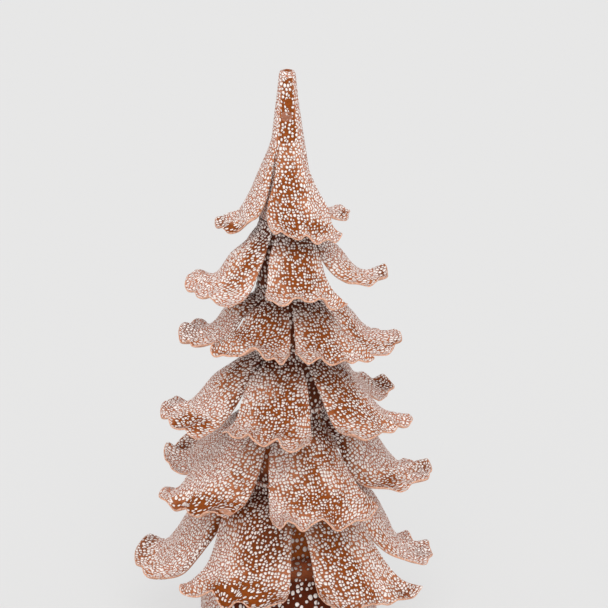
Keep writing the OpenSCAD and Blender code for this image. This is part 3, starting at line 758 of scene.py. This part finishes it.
# Fourth ring: six short, wide leaves of the same slab, luted on at the root, that stand out
# further than they hang.
leaf_ring("tier_3", "tier_3",
          (0.305, 0.058, 0.0344, 0.0324, 1, 0.056), (0.109, 0.084, 1.25), (28, 30, 0.42, 0.4), [
    ("left", -76, 0.95, 0.26, 0.95, 0.85, [(0.65, 0.2, 0.1, 1.2, 0.3), (0.45, 0.6, 1, 0.4, 0.3),
     ("deep", -0.15, 0.9, 0.4, 0.1), ("deep", 0.98, 0.4, 0.15, 0.3)],
     ([(-2, 0.5), (-1, 1.5), (5, 2.5), (13, 1)],
      [(-6, 7), (-1, 4), (3.5, 1.5), (-1, -1)],
      [(-1.5, 2), (0, 3.5), (2.5, 3.5), (1.5, 6)],
      [(22, 1), (19.5, 4), (13.5, 4), (6.5, 0), (0, 2), (-6.5, 2.5), (-11.5, -4), (-11, -10),
       (-8, -8.5), (-5, -3), (-4, -4), (-2, -2.5), (-1, 1.5)])),
    ("front_left", -22, 0.98, 0.27, 1, 0.56, [(0.45, 0.2, 0.3, 1.2, 0.5)],
     ([(-2.5, 3), (-1, 4), (-1, 9), (-0.5, 12.5)],
      [(0, 0), (-1, -0.5), (-1.5, 1), (-0.5, 3)],
      [(0, 0.5), (0.5, 0.5), (0.5, 2.5), (1, 6.5)],
      [(2.5, 10.5), (-4, 2), (-6, -5.5), (-4, -4.5), (-2.5, -5.5), (-2, -5.5), (-0.5, 1.5),
       (-1, 5.5), (-2, 3.5), (-2.5, -3), (-0.5, 0.5), (0.5, -4), (0.5, 6.5)])),
    ("front_right", 29, 1, 0.24, 1, 0.54, [(0.5, -0.2, 0.5, 0.7, 0.5), (0.4, 0.8, 0.2, 0.4, 0.1)],
     ([(0, 0), (0, 0.5), (-1, 6.5), (-4.5, 11.5)],
      [(-0.5, -0.5), (0, -0.5), (0, -1), (-1.5, -4)],
      [(-0.5, 1.5), (-0.5, 1), (1.5, 4.5), (2.5, 3.5)],
      [(-6.5, 12), (-6.5, 3), (-6.5, -4), (-6.5, -1.5), (-6, -2), (-5, -10.5), (-4, -12),
       (-3.5, -9), (-8, -9), (-8, -12.5), (-7.5, -10), (-3.5, -10.5), (1, -5.5)])),
    ("right", 80, 0.98, 0.14, 0.88, 0.8, [(0.55, -0.6, 0.6, 0.4, 0.5),
     ("deep", -0.37, 0.96, 0.3, 0.06)],
     ([(-0.5, 0), (-1, 0), (-1.5, -3), (-2.5, -2)],
      [(1.5, 2), (-1, 2.5), (-2, -1.5), (2.5, 2)],
      [(0.5, 0), (-2, 1.5), (-6.5, 4.5), (-14.5, 2.5)],
      [(3.5, -3), (4.5, -4.5), (5.5, -3), (6.5, -1.5), (11, -3.5), (11, -2), (8, 2), (4, 2),
       (-2, 1), (-8.5, -3), (-15.5, -3.5), (-19.5, -0.5), (-22.5, 0.5)])),
    ("back_right", 146, 0.7, 0.06, 0.9, 0.85, plain_back, 160),
    ("back_left", 212, 0.7, 0.1, 1, 0.85, plain_back, 200),
])


# Ring under the peak: five small slab leaves luted round the narrowest core, the front one hanging
# nearly straight.
leaf_ring("tier_2", "tier_2",
          (0.363, 0.069, 0.0312, 0.0292, 1, 0.067), (0.096, 0.076, 1.23), (38, 30, 0.42, 0.4), [
    ("left", -66, 1, 0.17, 1.08, 0.7, [(0.65, 0.6, 0.3, 0.4, 0.5)],
     ([(3, -2.5), (2, -1), (3, -1.5), (8.5, 3)],
      [(0.5, 1), (-1, 2.5), (-0.5, -1), (-3.5, -2.5)],
      [(1.5, 3.5), (2.5, 2.5), (4, -0.5), (8, -2.5)],
      [(16.5, 4.5), (11, 7), (3.5, 3.5), (-4.5, 0), (-10, -7.5), (-11, -12), (-8, -10.5),
       (-8, -12.5), (-5, -12), (-2, -6.5), (0, -8), (4.5, -9), (8.5, -7.5)])),
    ("front", 11, 0.98, 0.17, 0.97, 0.63, [(0.65, 0, 0.4, 0.7, 0.5)],
     ([(0, 4), (0.5, 5.5), (0, 5.5), (-1.5, 8)],
      [(0.5, 0), (1, -0.5), (0.5, 0.5), (0.5, -0.5)],
      [(0, -0.5), (-3, -2), (-2, 0), (0.5, 1.5)],
      [(0.5, 6.5), (1, 2.5), (2, -3), (2.5, -3.5), (1.5, 1), (0.5, 1), (-0.5, -4), (-0.5, -5.5),
       (-1, -1.5), (-1.5, -3), (-3, -10.5), (-1, -8), (3.5, -2.5)])),
    ("right", 86, 1, 0.16, 0.8, 0.7, [(0.3, -0.8, 0.6, 0.7, 0.5), ("deep", 0.1, 0.93, 0.4, 0.08)],
     ([(-3, -9.5), (-4.5, -9.5), (-5, -2.5), (-8, 4)],
      [(-3, -3.5), (-4.5, -2), (-5.5, -2.5), (-1.5, -3)],
      [(-1.5, -2.5), (-3.5, -2), (-5.5, -1), (-11, -2)],
      [(-8.5, 0), (-7, -1), (-4.5, 0.5), (-1.5, 1), (3, -1), (5, -2), (4.5, -1.5), (3.5, 3),
       (0.5, 5.5), (-3.5, 2), (-8, -0.5), (-12, -3), (-15.5, -4)])),
    ("back_right", 158, 0.8, 0.1, 0.9, 0.85, plain_back, 120),
    ("back_left", 228, 0.72, 0.05, 0.8, 0.85, plain_back, 160),
])


# Leaves of the peak: four long ones that start high on the cone, melt into it at their roots and
# only turn out at their ends.
leaf_ring("peak", "peak",
          (0.432, 0.15, 0.028, 0.008, 1.15, 0.1035), (0.07, 0.06, 1.24), (84, 10, 1.07, 0.5), [
    ("left", -88, 1, -0.02, 1, 0.85, [(0.4, 1, 0.3, 0.7, 0.5), (0.35, 0.8, 1, 1.2, 0.1),
     ("deep", -0.2, 0.93, 0.4, 0.06), ("large", 0.6, 0.95, 0.5, 0.12)],
     ([(-1.5, -0.5), (-2.5, 0.5), (-0.5, 2), (4, 2.5)],
      [(-2, -1.5), (-1.5, 0.5), (-0.5, -1), (3.5, -3.5)],
      [(0, 0.5), (2, 1.5), (4, 1.5), (8.5, 7.5)],
      [(12.5, 2.5), (11.5, 2), (7, -1), (1, -3), (-3, -3), (-4, -9), (-2.5, -10), (1.5, -6.5),
       (4, -7), (7.5, -8.5), (11.5, -6.5), (14, -3), (14.5, 3)])),
    ("front", 16, 0.97, 0, 1.15, 0.65, [(0.65, -0.4, 0.5, 0.7, 0.5), (0.4, 0.4, 0.8, 0.4, 0.1)],
     ([(0.5, 1.5), (1.5, 7), (-0.5, 12.5), (-2, 12.5)],
      [(1, 0.5), (1, 1.5), (0.5, 0), (0, 0)],
      [(-1.5, -1.5), (0.5, 0), (4, 2), (1, 0.5)],
      [(0.5, 10.5), (-0.5, 6.5), (-0.5, 7.5), (-0.5, 2.5), (-0.5, -3.5), (-1, -7), (-2, -3),
       (-3, -5.5), (-3.5, -11.5), (-4, -8), (-3, -5.5), (-0.5, -7), (2.5, 2)])),
    ("right", 114, 0.84, -0.01, 0.7, 0.9, [(0.4, -0.8, 0.9, 0.7, 0.18),
     ("deep", -0.5, 0.9, 0.3, 0.08)],
     ([(-3, 0.5), (-5, -2), (-4.5, -6), (-3.5, -4.5)],
      [(-5.5, -1), (-6.5, -0.5), (-6, 0), (-4, -2.5)],
      [(0, -0.5), (0, 0), (0, -1), (1, -2.5)],
      [(-2.5, -2.5), (-0.5, -2.5), (0.5, -1), (3, 1), (2.5, 1.5), (2, 2), (1, 2.5), (0.5, 2),
       (0.5, 0.5), (0, -1), (0, -2), (0, -3), (2, -4)])),
    ("back", 202, 0.8, -0.02, 1, 0.85, plain_back, 120),
])
